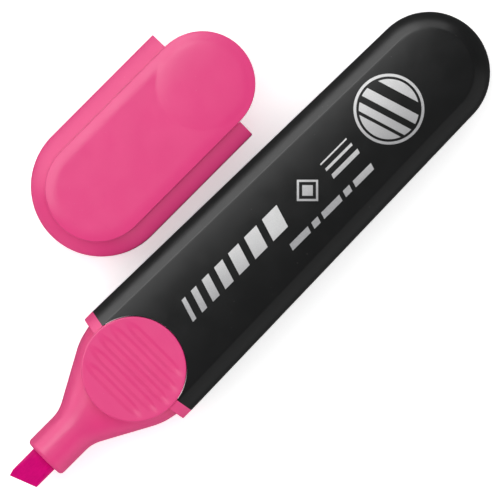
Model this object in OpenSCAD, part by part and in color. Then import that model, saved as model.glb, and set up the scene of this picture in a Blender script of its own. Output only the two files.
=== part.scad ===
// Flat chisel-nib highlighter with its cap taken off and laid beside it.
// Lengths run along +X from the writing tip to the rear end, +Y points to the
// parked cap and +Z up from the surface that both pieces lie on. Millimetres.

/* [Pen] */
// Length from the writing tip to the rear end
pen_l = 115.5; // [112:0.5:120]
// Width of the collar and of the barrel's mouth
mouth_w = 25.1; // [24.6:0.1:25.6]
// Width of the barrel where its round end begins
rear_w = 21.8; // [20.5:0.1:23]
// Thickness from the back face to the front face
thick = 16.4; // [16:0.1:17]
// Width of the bevelled band down each side
band_w = 3.0; // [2.5:0.1:3.4]
// Height of the upright side between the two bands
side_h = 8.7; // [8:0.1:9.4]
// Fall of the faces towards the bands, which crowns them
crown_h = 0.6; // [0.3:0.05:0.7]
// Width of the strip in which a face falls
crown_w = 5.5; // [3:0.1:5.8]
// Wall of the barrel
barrel_wall = 1.4; // [1.2:0.1:1.5]

/* [Front section] */
// Distance from the tip to the front of the nose tube
nose_x = 6.55; // [5.5:0.05:7]
// Distance from the tip to the start of the shoulder
shoulder_x = 14.5; // [13.5:0.1:15]
// Distance from the tip to the collar's front face
collar_x = 28.9; // [28:0.1:29.2]
// Thickness of the collar
collar_l = 2.1; // [1.8:0.1:2.4]
// Radius of the nose tube, which the inner cap seals on
nose_r = 4.2; // [4.1:0.05:4.3]
// Rounding of the nose tube's front edge
nose_round = 0.8; // [0.4:0.1:0.9]
// Radius of the round grip pads on the front and on the back
pad_r = 9.45; // [9:0.05:9.6]
// Distance from the tip to the middle of the grip pads
pad_x = 29.45; // [29:0.05:29.6]
// Depth of the grip grooves in the pads
groove_h = 0.35; // [0.2:0.05:0.45]
// Number of grip grooves in a pad
groove_count = 5; // [3:2:7]

/* [Nib and ink] */
// Width of the chisel nib
nib_w = 5.3; // [4.8:0.1:5.4]
// Thickness of the chisel nib
nib_t = 4.0; // [3.6:0.1:4.2]
// Length of the nib, most of it inside
nib_l = 36; // [34:0.5:38]
// How far the writing edge runs back across the nib
nib_slant = 1.9; // [1:0.1:2]
// Radius of the wrapped fibre reservoir
reservoir_r = 5.6; // [5.3:0.05:5.65]
// Length of the fibre reservoir
reservoir_l = 69; // [60:1:70]

/* [Cap] */
// Length of the cap from its closed end to its mouth
cap_l = 38.4; // [38:0.1:39.5]
// Width of the cap
cap_w = 25.25; // [25:0.05:25.8]
// Wall of the cap
cap_wall = 1.05; // [0.9:0.05:1.1]
// Distance from the tip to the parked cap's closed end
cap_park_x = 35.9; // [30:0.1:45]
// Distance between the pen's axis and the parked cap's axis
cap_park_y = 27.3; // [26.5:0.1:40]
// Radial clearance of the inner cap on the nose tube
seal_fit = 0.02; // [0.01:0.01:0.04]

/* [Clip] */
// Width of the clip plate
clip_w = 18.9; // [18:0.1:19]
// Distance from the closed end to the root of the clip
clip_root = 2.4; // [2:0.1:3]
// Distance from the cap's mouth to the tip of the clip
clip_reach = 9.5; // [9.3:0.05:9.7]
// Thickness of the clip at its root
clip_t = 1.7; // [1.5:0.05:1.9]
// Gap under the tip of the clip
clip_gap = 0.75; // [0.5:0.05:0.9]
// Rise of the thumb dome at the tip of the clip
dome_h = 0.45; // [0.3:0.05:0.5]
// Radius of the thumb dome
dome_r = 8.4; // [8:0.1:8.8]

/* [Hidden] */
$fn = 96;
eps = 0.01;
fit_gap = 0.02;             // gap between pieces that are pushed together
barrel_x = collar_x + collar_l;
rear_r = rear_w / 2;
rear_x = pen_l - rear_r;    // centre of the barrel's round end
plug_l = 9;
plug_gap = 0.05;
rib_t = 1;
rib_w = 5;
rib_l = 60;
rib_y = 8.3;                // from the pen's axis to the middle of a side rib
rear_solid = 3.8;           // left clear at the rear end, where the faces meet
pad_gap = 0.15;             // round the pads in the notches of the barrel
notch_gap = 0.05;           // round the pads in the notches of the cap
pad_sink = 2.2;             // how far a pad reaches down into the shoulder
pad_rim = 1.6;              // from the pad's edge to the end of a groove
groove_span = 2 * (pad_r - 3);
bend_x = barrel_x - 4.8;    // where the shoulder stops widening quickly
shoulder_w = 22.6;
bend_w = 21.2;
bend_t = 13.4;
shoulder_t = 14.0;
shoulder_side = 7.0;
pocket_x = bend_x + 0.6;    // front of the pocket that holds the reservoir
pocket_r = reservoir_r + 0.1;
wrap_t = 0.2;
core_x = pocket_x + 0.2;
nib_r = 3.1;                // the nib's four edges are rounded to this radius
nib_edge_t = 1.1;           // thickness left at the writing edge
wedge_l = 5.8;
cap_r = cap_w / 2;
cap_end_band = 2.8;
sleeve_r = nose_r + seal_fit;
sleeve_wall = 1.1;
sleeve_x = cap_wall + 2.05;     // its floor is flat, the end of the cap is not
sleeve_end = cap_l - collar_x + shoulder_x - 0.6;
socket_wall = 1.0;
socket_l = 7;
clip_rest = 0.06;           // gap under the clip at its root
clip_bevel = 2.2;
clip_end_r = clip_w / 2;
half_t = thick / 2;
pen_y = -(cap_park_y + cap_r - mouth_w / 2) / 2;

// Outline across the pen: crowned faces, bevelled bands and upright sides.
function flat_profile(w, t, band, side, fall) =
    let (y0 = w / 2 - band - crown_w, y1 = w / 2 - band, y2 = w / 2)
    [[y0, t / 2], [y1, t / 2 - fall], [y2, side / 2],
     [y2, -side / 2], [y1, fall - t / 2], [y0, -t / 2],
     [-y0, -t / 2], [-y1, fall - t / 2], [-y2, -side / 2],
     [-y2, side / 2], [-y1, t / 2 - fall], [-y0, t / 2]];

// Moves a piece of the pen from the tip's frame to its place.
module on_pen() translate([-pen_l / 2, pen_y, half_t]) children();

// Moves a piece of the cap from its closed end to its parked place.
module on_cap() translate([cap_park_x - pen_l / 2, pen_y + cap_park_y, half_t]) children();

// Sweeps an outline in the YZ plane along +X.
module along_x(x, l) translate([x, 0, 0]) rotate([90, 0, 90]) linear_extrude(l) children();

module flat_bar(x, l, w, t, band, side, fall = crown_h)
    along_x(x, l) polygon(flat_profile(w, t, band, side, fall));

// Round end with the same faces and bands as flat_bar.
module round_end(x, r, t, band, side, fall = crown_h) translate([x, 0, 0]) {
    cylinder(r = r, h = side, center = true);
    cylinder(r = r - band, h = t - 2 * fall, center = true);
    cylinder(r = r - band - crown_w, h = t, center = true);
}

module barrel_form(inset, x0) hull() {
    flat_bar(x0, eps, mouth_w - 2 * inset, thick - 2 * inset, band_w, side_h - inset / 2);
    round_end(rear_x, rear_r - inset, thick - 2 * inset, band_w, side_h - inset / 2);
}

// Ribs that keep the reservoir in the middle, and its stop at the rear.
module barrel_ribs() {
    rib_x = barrel_x + plug_l + 3;
    stop_x = core_x + reservoir_l + 0.2;
    for (side = [-1, 1], z = [-2, 2])
        translate([rib_x, side * rib_y - rib_w / 2, z - rib_t / 2]) cube([rib_l, rib_w, rib_t]);
    translate([stop_x, -rib_t / 2, 0.5 - half_t])
        cube([pen_l - stop_x - rear_solid, rib_t, thick - 1]);
}

module barrel() color("#1d1e1f") on_pen() {
    difference() {
        barrel_form(0, barrel_x);
        barrel_form(barrel_wall, barrel_x - eps);
        translate([pad_x, 0, 0]) cylinder(r = pad_r + pad_gap, h = 2 * thick, center = true);
    }
    intersection() {
        barrel_form(barrel_wall - 0.2, barrel_x);
        barrel_ribs();
    }
}

// Nose tube with a rounded front edge, about +X.
module nose() translate([nose_x, 0, 0]) rotate([0, 90, 0]) rotate_extrude() {
    square([nose_r - nose_round, bend_x - nose_x]);
    translate([0, nose_round]) square([nose_r, shoulder_x - nose_x + 2 - nose_round]);
    translate([nose_r - nose_round, nose_round]) circle(r = nose_round);
}

module shoulder() {
    hull() {
        translate([shoulder_x, 0, 0]) rotate([0, 90, 0]) cylinder(r = nose_r, h = eps, $fn = 64);
        flat_bar(bend_x, eps, bend_w, bend_t, band_w, shoulder_side);
    }
    hull() {
        flat_bar(bend_x, eps, bend_w, bend_t, band_w, shoulder_side);
        flat_bar(collar_x, eps, shoulder_w, shoulder_t, band_w, shoulder_side);
    }
}

// Groove with round ends that crosses a grip pad.
module groove(x, w) {
    reach = sqrt(pow(pad_r - pad_rim, 2) - x * x) - w / 2;
    translate([x, 0, 0]) {
        cube([w, 2 * reach, 2 * groove_h], center = true);
        for (end = [-1, 1]) translate([0, end * reach, 0])
            cylinder(d = w, h = 2 * groove_h, center = true, $fn = 48);
    }
}

// Round grip pad on the front face; the one on the back is its mirror image.
module grip_pad() {
    pitch = groove_span / groove_count;
    foot = bend_t / 2 - pad_sink;
    translate([pad_x, 0, 0]) difference() {
        translate([0, 0, foot]) cylinder(r = pad_r, h = half_t - foot);
        translate([0, 0, half_t]) for (i = [0 : groove_count - 1])
            groove((i - (groove_count - 1) / 2) * pitch, 0.55 * pitch);
    }
}

// The section's round pocket, and the slot through the nose that grips the nib.
module section_bores() {
    translate([pocket_x, 0, 0]) rotate([0, 90, 0])
        cylinder(r = pocket_r, h = barrel_x + plug_l - pocket_x + 1);
    nib_stock(nose_x - 1, pocket_x - nose_x + 2, fit_gap);
}

module front_section() color("#eb528c") on_pen() difference() {
    union() {
        nose();
        shoulder();
        flat_bar(collar_x, collar_l, mouth_w, thick, band_w, side_h);
        flat_bar(barrel_x - eps, plug_l + eps, mouth_w - 2 * barrel_wall - 2 * plug_gap - 0.4,
                 thick - 2 * barrel_wall - 2 * plug_gap, band_w, side_h - barrel_wall / 2 - 0.2);
        grip_pad();
        mirror([0, 0, 1]) grip_pad();
    }
    section_bores();
}

// Bar of nib felt: a flat bar whose four edges are rounded.
module nib_stock(x, l, gap = 0) along_x(x, l) intersection() {
    circle(r = nib_r + gap);
    square([nib_w + 2 * gap, nib_t + 2 * gap], center = true);
}

// Half-space above the slope that sharpens one face of the nib.
module nib_wedge() {
    slope = atan2((nib_t - nib_edge_t) / 2, wedge_l);
    translate([0, 0, nib_edge_t / 2]) rotate([0, -slope, 0])
        translate([-5, -nib_w, 0]) cube([wedge_l * 2 + 5, 2 * nib_w, nib_t]);
}

module nib() color("#cd0f73") on_pen() difference() {
    nib_stock(0, nib_l);
    nib_wedge();
    mirror([0, 0, 1]) nib_wedge();
    translate([0, nib_w / 2, 0]) rotate([0, 0, atan2(nib_slant, nib_w)])
        translate([-10, -2 * nib_w, -nib_t]) cube([10, 3 * nib_w, 2 * nib_t]);
}

module reservoir_core() color("#d8287f") on_pen() difference() {
    translate([core_x, 0, 0]) rotate([0, 90, 0])
        cylinder(r = reservoir_r - wrap_t, h = reservoir_l);
    nib_stock(0, nib_l + 0.1, fit_gap);
}

module reservoir_wrap() color("#e9e4ea") on_pen()
    translate([core_x + 0.5, 0, 0]) rotate([0, 90, 0]) difference() {
        cylinder(r = reservoir_r, h = reservoir_l - 1);
        translate([0, 0, -1]) cylinder(r = reservoir_r - wrap_t, h = reservoir_l + 1);
    }

module cap_form(inset, x1) hull() {
    flat_bar(x1 - eps, eps, cap_w - 2 * inset, thick - 2 * inset, band_w, side_h - inset / 2);
    round_end(cap_r, cap_r - inset, thick - 2 * inset, cap_end_band, side_h - inset / 2);
}

// The cap: open at its mouth, notched there on both faces for the grip pads.
module cap_shell() color("#eb528c") on_cap() {
    difference() {
        cap_form(0, cap_l);
        cap_form(cap_wall, cap_l + 1);
        translate([cap_l + pad_x - collar_x, 0, 0])
            cylinder(r = pad_r + notch_gap, h = 2 * thick, center = true);
    }
    intersection() {
        cap_form(cap_wall - 0.2, cap_l);
        translate([0.5, 0, 0]) rotate([0, 90, 0]) difference() {
            cylinder(r = sleeve_r + sleeve_wall + socket_wall, h = socket_l);
            translate([0, 0, sleeve_x - 0.5])
                cylinder(r = sleeve_r + sleeve_wall + fit_gap, h = socket_l);
        }
    }
}

// Inner cap: the tube that closes round the nose and keeps the nib wet.
module cap_inner_sleeve() color("#f4f1ee") on_cap()
    translate([sleeve_x, 0, 0]) rotate([0, 90, 0]) difference() {
        cylinder(r = sleeve_r + sleeve_wall, h = sleeve_end - sleeve_x);
        translate([0, 0, 1]) cylinder(r = sleeve_r, h = sleeve_end);
    }

// Plate of the clip, seen from above: a bar with two round ends.
module clip_plan(inset, z, h) hull() for (x = [clip_root + clip_end_r, cap_l + clip_reach - clip_end_r])
    translate([x, 0, z]) cylinder(r = clip_end_r - inset, h = h, $fn = 64);

module clip() color("#ec5690") on_cap() difference() {
    union() {
        hull() {
            clip_plan(0, half_t + clip_rest, clip_t - crown_h - clip_rest);
            clip_plan(clip_bevel, half_t + clip_rest, clip_t - clip_rest);
        }
        translate([cap_l + clip_reach - clip_end_r, 0, half_t + clip_t]) thumb_dome();
    }
    clip_underside();
}

// Low dome for the thumb, cut from a large sphere.
module thumb_dome() {
    ball_r = (dome_r * dome_r + dome_h * dome_h) / (2 * dome_h);
    intersection() {
        translate([0, 0, -0.2]) cylinder(r = dome_r, h = dome_h + 1);
        translate([0, 0, dome_h - ball_r]) sphere(r = ball_r, $fn = 180);
    }
}

// Wedge under the clip, deepest at the tip, where the gap shows.
module clip_underside() {
    run = cap_l + clip_reach - clip_root;
    translate([clip_root, 0, half_t + clip_rest])
        rotate([0, -atan2(clip_gap - clip_rest, run), 0])
            translate([-5, -clip_w, -4]) cube([run + 10, 2 * clip_w, 4]);
}

barrel();
front_section();
nib();
reservoir_core();
reservoir_wrap();
cap_shell();
cap_inner_sleeve();
clip();
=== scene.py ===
"""Looks of a flat chisel-nib highlighter that lies with its cap beside it."""
import logging
import math
from dataclasses import dataclass, field, replace
from enum import Enum
from typing import Callable, Iterable, Sequence

import bmesh
import bpy
from mathutils import Matrix, Vector


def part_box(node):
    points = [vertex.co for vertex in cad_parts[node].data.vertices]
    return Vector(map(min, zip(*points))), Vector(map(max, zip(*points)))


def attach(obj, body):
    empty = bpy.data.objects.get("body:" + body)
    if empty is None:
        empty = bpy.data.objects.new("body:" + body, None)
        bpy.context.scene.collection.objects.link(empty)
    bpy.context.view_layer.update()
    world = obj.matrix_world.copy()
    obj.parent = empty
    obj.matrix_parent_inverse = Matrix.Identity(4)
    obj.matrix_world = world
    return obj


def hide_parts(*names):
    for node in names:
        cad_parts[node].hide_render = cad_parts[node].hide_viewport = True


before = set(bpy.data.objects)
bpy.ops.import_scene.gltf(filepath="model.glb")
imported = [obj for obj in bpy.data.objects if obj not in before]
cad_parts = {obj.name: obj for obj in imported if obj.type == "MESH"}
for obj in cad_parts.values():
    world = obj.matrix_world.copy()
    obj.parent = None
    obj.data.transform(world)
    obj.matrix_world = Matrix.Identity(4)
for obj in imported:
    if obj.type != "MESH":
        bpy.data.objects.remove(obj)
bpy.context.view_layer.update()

MM = 0.001
TOUCH = 1e-7
LOG = logging.getLogger("highlighter")
Colour = tuple[float, float, float]


# ---------------------------------------------------------------- where things are

@dataclass(frozen=True)
class Place:
    """Where the CAD pieces lie, in the row frame."""

    tip_x: float
    nose_x: float
    mouth_x: float
    rear_x: float
    pen_y: float
    mid_z: float
    mouth_half: float
    half_t: float
    cap_x: float
    cap_y: float
    cap_l: float
    cap_half: float

    @classmethod
    def from_frame(cls) -> "Place":
        """Reads the places from the boxes of the CAD nodes.

        Returns:
            The places of the pen and of the parked cap.
        """
        nib, section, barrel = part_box("nib"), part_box("front_section"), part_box("barrel")
        core, cap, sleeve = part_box("reservoir_core"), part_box("cap_shell"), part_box("cap_inner_sleeve")
        return cls(
            tip_x=nib[0][0],
            nose_x=section[0][0],
            mouth_x=barrel[0][0],
            rear_x=barrel[1][0],
            pen_y=(core[0][1] + core[1][1]) / 2,
            mid_z=(core[0][2] + core[1][2]) / 2,
            mouth_half=(barrel[1][1] - barrel[0][1]) / 2,
            half_t=(barrel[1][2] - barrel[0][2]) / 2,
            cap_x=cap[0][0],
            cap_y=(sleeve[0][1] + sleeve[1][1]) / 2,
            cap_l=cap[1][0] - cap[0][0],
            cap_half=(cap[1][1] - cap[0][1]) / 2,
        )

    def pen(self) -> Matrix:
        """Gives the move from the tip's frame to the row frame."""
        return Matrix.Translation((self.tip_x, self.pen_y, self.mid_z))

    def cap(self) -> Matrix:
        """Gives the move from the cap's closed end to the row frame."""
        return Matrix.Translation((self.cap_x, self.cap_y, self.mid_z))


# ---------------------------------------------------------------- mesh helpers

def everything(bm: bmesh.types.BMesh) -> list:
    """Lists a mesh's vertices, edges and faces."""
    return bm.verts[:] + bm.edges[:] + bm.faces[:]


def loop_edges(verts: Sequence[bmesh.types.BMVert]) -> list[bmesh.types.BMEdge]:
    """Lists the edges that run between the given vertices."""
    wanted = set(verts)
    edges = [e for v in verts for e in v.link_edges if e.verts[0] in wanted and e.verts[1] in wanted]
    return list(dict.fromkeys(edges))


def ends_of(edges: Sequence[bmesh.types.BMEdge]) -> list[bmesh.types.BMVert]:
    """Lists the ends of some edges once each, in order."""
    return list(dict.fromkeys(v for e in edges for v in e.verts))


def add_mesh(bm: bmesh.types.BMesh, other: bmesh.types.BMesh) -> None:
    """Adds a second mesh to the first and frees it.

    Args:
        bm: The mesh that grows.
        other: The mesh that is copied into it.
    """
    carrier = bpy.data.meshes.new("carrier")
    other.to_mesh(carrier)
    other.free()
    bm.from_mesh(carrier)
    bpy.data.meshes.remove(carrier)


def cut_away(bm: bmesh.types.BMesh, point: Sequence[float], outward: Sequence[float], close: bool) -> None:
    """Cuts off what lies beyond a plane.

    Args:
        bm: The mesh to cut.
        point: A point on the plane.
        outward: The plane's normal, towards the side that goes.
        close: Whether the cut is filled with a face.
    """
    cut = bmesh.ops.bisect_plane(
        bm, geom=everything(bm), dist=TOUCH, plane_co=point, plane_no=outward, clear_outer=True
    )["geom_cut"]
    if close:
        edges = [g for g in cut if isinstance(g, bmesh.types.BMEdge)]
        bmesh.ops.edgeloop_fill(bm, edges=edges)


def round_off(bm: bmesh.types.BMesh, edges: Iterable[bmesh.types.BMEdge], radius: float, steps: int = 3) -> None:
    """Rounds edges.

    Args:
        bm: The mesh.
        edges: The edges to round.
        radius: How far the rounding reaches on each side.
        steps: Faces across the rounding.
    """
    bmesh.ops.bevel(
        bm, geom=list(edges), offset=radius, offset_type="OFFSET", segments=steps,
        profile=0.5, affect="EDGES", material=-1, clamp_overlap=True,
    )


def edges_where(bm: bmesh.types.BMesh, test: Callable[[Vector], bool]) -> list[bmesh.types.BMEdge]:
    """Lists the edges whose two ends both pass a test on their place."""
    return [e for e in bm.edges if test(e.verts[0].co) and test(e.verts[1].co)]


def lathe(profile: Sequence[tuple[float, float]], steps: int = 96) -> bmesh.types.BMesh:
    """Turns a profile about the X axis.

    Args:
        profile: Points (x, radius) in order; the last joins the first.
        steps: Faces round the axis.

    Returns:
        A closed ring or tube.
    """
    bm = bmesh.new()
    verts = [bm.verts.new((x, r, 0)) for x, r in profile]
    edges = [bm.edges.new((a, b)) for a, b in zip(verts, verts[1:] + verts[:1])]
    bmesh.ops.spin(
        bm, geom=verts + edges, cent=(0, 0, 0), axis=(1, 0, 0), dvec=(0, 0, 0),
        angle=math.tau, steps=steps, use_merge=True,
    )
    bmesh.ops.remove_doubles(bm, verts=bm.verts[:], dist=TOUCH)
    bmesh.ops.recalc_face_normals(bm, faces=bm.faces[:])
    return bm


def make_object(name: str, bm: bmesh.types.BMesh, place: Matrix) -> bpy.types.Object:
    """Turns a mesh into an object that sits at the origin.

    Args:
        name: Name of the piece.
        bm: Its mesh, which is freed.
        place: The move to the piece's place, put into the mesh.

    Returns:
        The new object.
    """
    bmesh.ops.transform(bm, matrix=place, verts=bm.verts[:])
    mesh = bpy.data.meshes.new(name)
    bm.to_mesh(mesh)
    bm.free()
    obj = bpy.data.objects.new(name, mesh)
    bpy.context.scene.collection.objects.link(obj)
    return obj


def carve(obj: bpy.types.Object, tool: bmesh.types.BMesh, place: Matrix) -> None:
    """Cuts a tool out of an object.

    Args:
        obj: The object whose mesh changes.
        tool: The other mesh, which is freed.
        place: The move to the tool's place.
    """
    other = make_object("tool", tool, place)
    change = obj.modifiers.new("change", "BOOLEAN")
    change.operation = "DIFFERENCE"
    change.solver = "MANIFOLD"
    change.object = other
    bpy.context.view_layer.update()
    done = bpy.data.meshes.new_from_object(obj.evaluated_get(bpy.context.evaluated_depsgraph_get()))
    obj.modifiers.remove(change)
    old, obj.data = obj.data, done
    bpy.data.meshes.remove(old)
    done.name = obj.name
    bpy.data.objects.remove(other)


def finish_piece(
    obj: bpy.types.Object, body: str, material: bpy.types.Material,
    stands_for: Sequence[str] = (), crease: float = 32.0, weighted: bool = True,
) -> bpy.types.Object:
    """Dresses a piece, smooths it and lets it ride on its body.

    Args:
        obj: The piece.
        body: The CAD body that it moves with.
        material: Its material.
        stands_for: CAD nodes that it replaces.
        crease: Edges sharper than this angle, in degrees, stay sharp.
        weighted: Whether large faces set the shading.

    Returns:
        The same piece.
    """
    mesh = obj.data
    mesh.materials.clear()
    mesh.materials.append(material)
    mesh.shade_smooth()
    mesh.set_sharp_from_angle(angle=math.radians(crease))
    if weighted:
        normals = obj.modifiers.new("even_shading", "WEIGHTED_NORMAL")
        normals.keep_sharp = True
    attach(obj, body)
    if stands_for:
        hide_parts(*stands_for)
    LOG.info("%s: %d faces on %s", obj.name, len(mesh.polygons), body)
    return obj


# ---------------------------------------------------------------- materials

class Graph:
    """A small helper that adds and links shader nodes."""

    def __init__(self, tree: bpy.types.NodeTree) -> None:
        """Keeps the tree that it adds to."""
        self.tree = tree

    def add(self, kind: str, settings: dict | None = None, **inputs: object) -> bpy.types.Node:
        """Adds a node.

        Args:
            kind: The node's type, without its ShaderNode prefix.
            settings: Properties of the node itself.
            **inputs: Values or output sockets, by input name with _ for a space.

        Returns:
            The node.
        """
        node = self.tree.nodes.new("ShaderNode" + kind)
        for name, value in (settings or {}).items():
            setattr(node, name, value)
        for name, value in inputs.items():
            self.put(node.inputs[int(name[1:]) if name[1:].isdigit() else name.replace("_", " ")], value)
        return node

    def put(self, socket: bpy.types.NodeSocket, value: object) -> None:
        """Links an output to a socket, or sets the socket's value."""
        if isinstance(value, bpy.types.NodeSocket):
            self.tree.links.new(value, socket)
        else:
            socket.default_value = value

    def math(self, operation: str, a: object, b: object = 0.0, c: object = 0.0) -> bpy.types.NodeSocket:
        """Adds a Math node and gives its output."""
        return self.add("Math", {"operation": operation}, i0=a, i1=b, i2=c).outputs[0]

    def mix(self, factor: object, a: object, b: object) -> bpy.types.NodeSocket:
        """Adds a colour mix and gives its output."""
        node = self.add("Mix", {"data_type": "RGBA"})
        self.put(node.inputs["Factor"], factor)
        self.put(node.inputs[6], a)
        self.put(node.inputs[7], b)
        return node.outputs[2]

    def span(self, value: object, low: float, high: float, to_low: float, to_high: float) -> bpy.types.NodeSocket:
        """Maps a value from one range to another, with soft ends."""
        node = self.add(
            "MapRange", {"interpolation_type": "SMOOTHSTEP"}, Value=value,
            From_Min=low, From_Max=high, To_Min=to_low, To_Max=to_high,
        )
        return node.outputs[0]


def new_group(
    name: str, inputs: dict[str, float], outputs: Sequence[str],
) -> tuple[Graph, bpy.types.Node, bpy.types.Node]:
    """Starts a shader node group.

    Args:
        name: Name of the group.
        inputs: Float inputs with their defaults.
        outputs: Names of the float outputs.

    Returns:
        The graph, the node with the inputs and the node with the outputs.
    """
    tree = bpy.data.node_groups.new(name, "ShaderNodeTree")
    for key, value in inputs.items():
        tree.interface.new_socket(key, in_out="INPUT", socket_type="NodeSocketFloat").default_value = value
    for key in outputs:
        tree.interface.new_socket(key, in_out="OUTPUT", socket_type="NodeSocketFloat")
    return Graph(tree), tree.nodes.new("NodeGroupInput"), tree.nodes.new("NodeGroupOutput")


class Effects:
    """The shader groups that several finishes share."""

    def __init__(self) -> None:
        """Builds each group once."""
        self.grain = self.make_grain()
        self.wear = self.make_wear()
        self.specks = self.make_specks()

    def make_grain(self) -> bpy.types.NodeTree:
        """Builds the fine texture of a mould, with slow changes of tone."""
        g, start, end = new_group("mould_grain", {"Scale": 2500.0, "Blotch": 90.0}, ("Height", "Tone", "Sheen"))
        place = g.add("TexCoord").outputs["Object"]
        fine = g.add("TexNoise", None, Vector=place, Scale=start.outputs["Scale"], Detail=3.0, Roughness=0.55)
        blotch = g.add("TexNoise", None, Vector=place, Scale=start.outputs["Blotch"], Detail=4.0, Roughness=0.6)
        closer = g.math("MULTIPLY", start.outputs["Blotch"], 3.1)
        flow = g.add("TexNoise", None, Vector=place, Scale=closer, Detail=2.0)
        g.put(end.inputs["Height"], fine.outputs["Fac"])
        g.put(end.inputs["Tone"], g.span(blotch.outputs["Fac"], 0.32, 0.68, 0.0, 1.0))
        g.put(end.inputs["Sheen"], g.span(flow.outputs["Fac"], 0.3, 0.7, 0.0, 1.0))
        return g.tree

    def make_wear(self) -> bpy.types.NodeTree:
        """Builds a mask of the rubbed edges."""
        g, start, end = new_group("edge_wear", {"Radius": 0.3 * MM, "Amount": 1.0, "Break": 700.0}, ("Mask",))
        soft = g.add("Bevel", {"samples": 6}, Radius=start.outputs["Radius"])
        true = g.add("NewGeometry")
        match = g.add("VectorMath", {"operation": "DOT_PRODUCT"}, i0=soft.outputs[0], i1=true.outputs["Normal"])
        edge = g.span(g.math("SUBTRACT", 1.0, match.outputs["Value"]), 0.01, 0.14, 0.0, 1.0)
        place = g.add("TexCoord").outputs["Object"]
        broken = g.add("TexNoise", None, Vector=place, Scale=start.outputs["Break"], Detail=4.0)
        patchy = g.span(broken.outputs["Fac"], 0.35, 0.65, 0.35, 1.0)
        g.put(end.inputs["Mask"], g.math("MULTIPLY", g.math("MULTIPLY", edge, patchy), start.outputs["Amount"]))
        return g.tree

    def make_specks(self) -> bpy.types.NodeTree:
        """Builds a mask of tiny specks of dust."""
        g, start, end = new_group("specks", {"Scale": 900.0, "Amount": 0.1}, ("Mask",))
        place = g.add("TexCoord").outputs["Object"]
        cells = g.add("TexVoronoi", None, Vector=place, Scale=start.outputs["Scale"])
        dots = g.span(cells.outputs["Distance"], 0.06, 0.12, 1.0, 0.0)
        rare = g.add("TexNoise", None, Vector=place, Scale=g.math("MULTIPLY", start.outputs["Scale"], 0.35))
        some = g.span(rare.outputs["Fac"], 0.56, 0.66, 0.0, 1.0)
        g.put(end.inputs["Mask"], g.math("MULTIPLY", g.math("MULTIPLY", dots, some), start.outputs["Amount"]))
        return g.tree

    def use(self, g: Graph, tree: bpy.types.NodeTree, **inputs: float) -> bpy.types.Node:
        """Places a group in a material and sets its inputs."""
        node = g.tree.nodes.new("ShaderNodeGroup")
        node.node_tree = tree
        for name, value in inputs.items():
            node.inputs[name].default_value = value
        return node


def new_material(name: str) -> tuple[bpy.types.Material, Graph, bpy.types.Node]:
    """Starts a material.

    Args:
        name: Name of the material.

    Returns:
        The material, its graph and its Principled BSDF.
    """
    material = bpy.data.materials.new(name)
    material.use_nodes = True
    material.node_tree.nodes.clear()
    g = Graph(material.node_tree)
    bsdf = g.add("BsdfPrincipled")
    g.put(g.add("OutputMaterial").inputs["Surface"], bsdf.outputs[0])
    return material, g, bsdf


def rgba(colour: Colour) -> tuple[float, float, float, float]:
    """Adds a full alpha to a colour."""
    return (*colour, 1.0)


@dataclass(frozen=True)
class MouldedPlastic:
    """Satin moulded plastic: fine grain, slow changes of tone, rubbed edges and a few specks."""

    name: str
    colour: Colour
    deep: Colour
    edge: Colour
    roughness: float = 0.36
    roughness_span: float = 0.035
    grain_scale: float = 2600.0
    grain_depth: float = 0.05
    wear: float = 0.5
    specks: float = 0.1
    specular: float = 0.5

    def build(self, effects: Effects) -> bpy.types.Material:
        """Makes the material.

        Args:
            effects: The shared shader groups.

        Returns:
            The material.
        """
        material, g, bsdf = new_material(self.name)
        grain = effects.use(g, effects.grain, Scale=self.grain_scale, Blotch=85.0)
        wear = effects.use(g, effects.wear, Radius=0.25 * MM, Amount=self.wear)
        specks = effects.use(g, effects.specks, Scale=850.0, Amount=self.specks)
        body = g.mix(grain.outputs["Tone"], rgba(self.deep), rgba(self.colour))
        rubbed = g.mix(wear.outputs["Mask"], body, rgba(self.edge))
        dusty = g.mix(specks.outputs["Mask"], rubbed, rgba((0.75, 0.72, 0.7)))
        g.put(bsdf.inputs["Base Color"], dusty)
        low, high = self.roughness - self.roughness_span, self.roughness + self.roughness_span
        gloss = g.span(grain.outputs["Sheen"], 0.0, 1.0, low, high)
        g.put(bsdf.inputs["Roughness"], g.math("ADD", gloss, g.math("MULTIPLY", wear.outputs["Mask"], 0.12)))
        bump = g.add("Bump", None, Strength=self.grain_depth, Distance=0.05 * MM, Height=grain.outputs["Height"])
        g.put(bsdf.inputs["Normal"], bump.outputs[0])
        bsdf.inputs["Specular IOR Level"].default_value = self.specular
        return material


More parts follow.
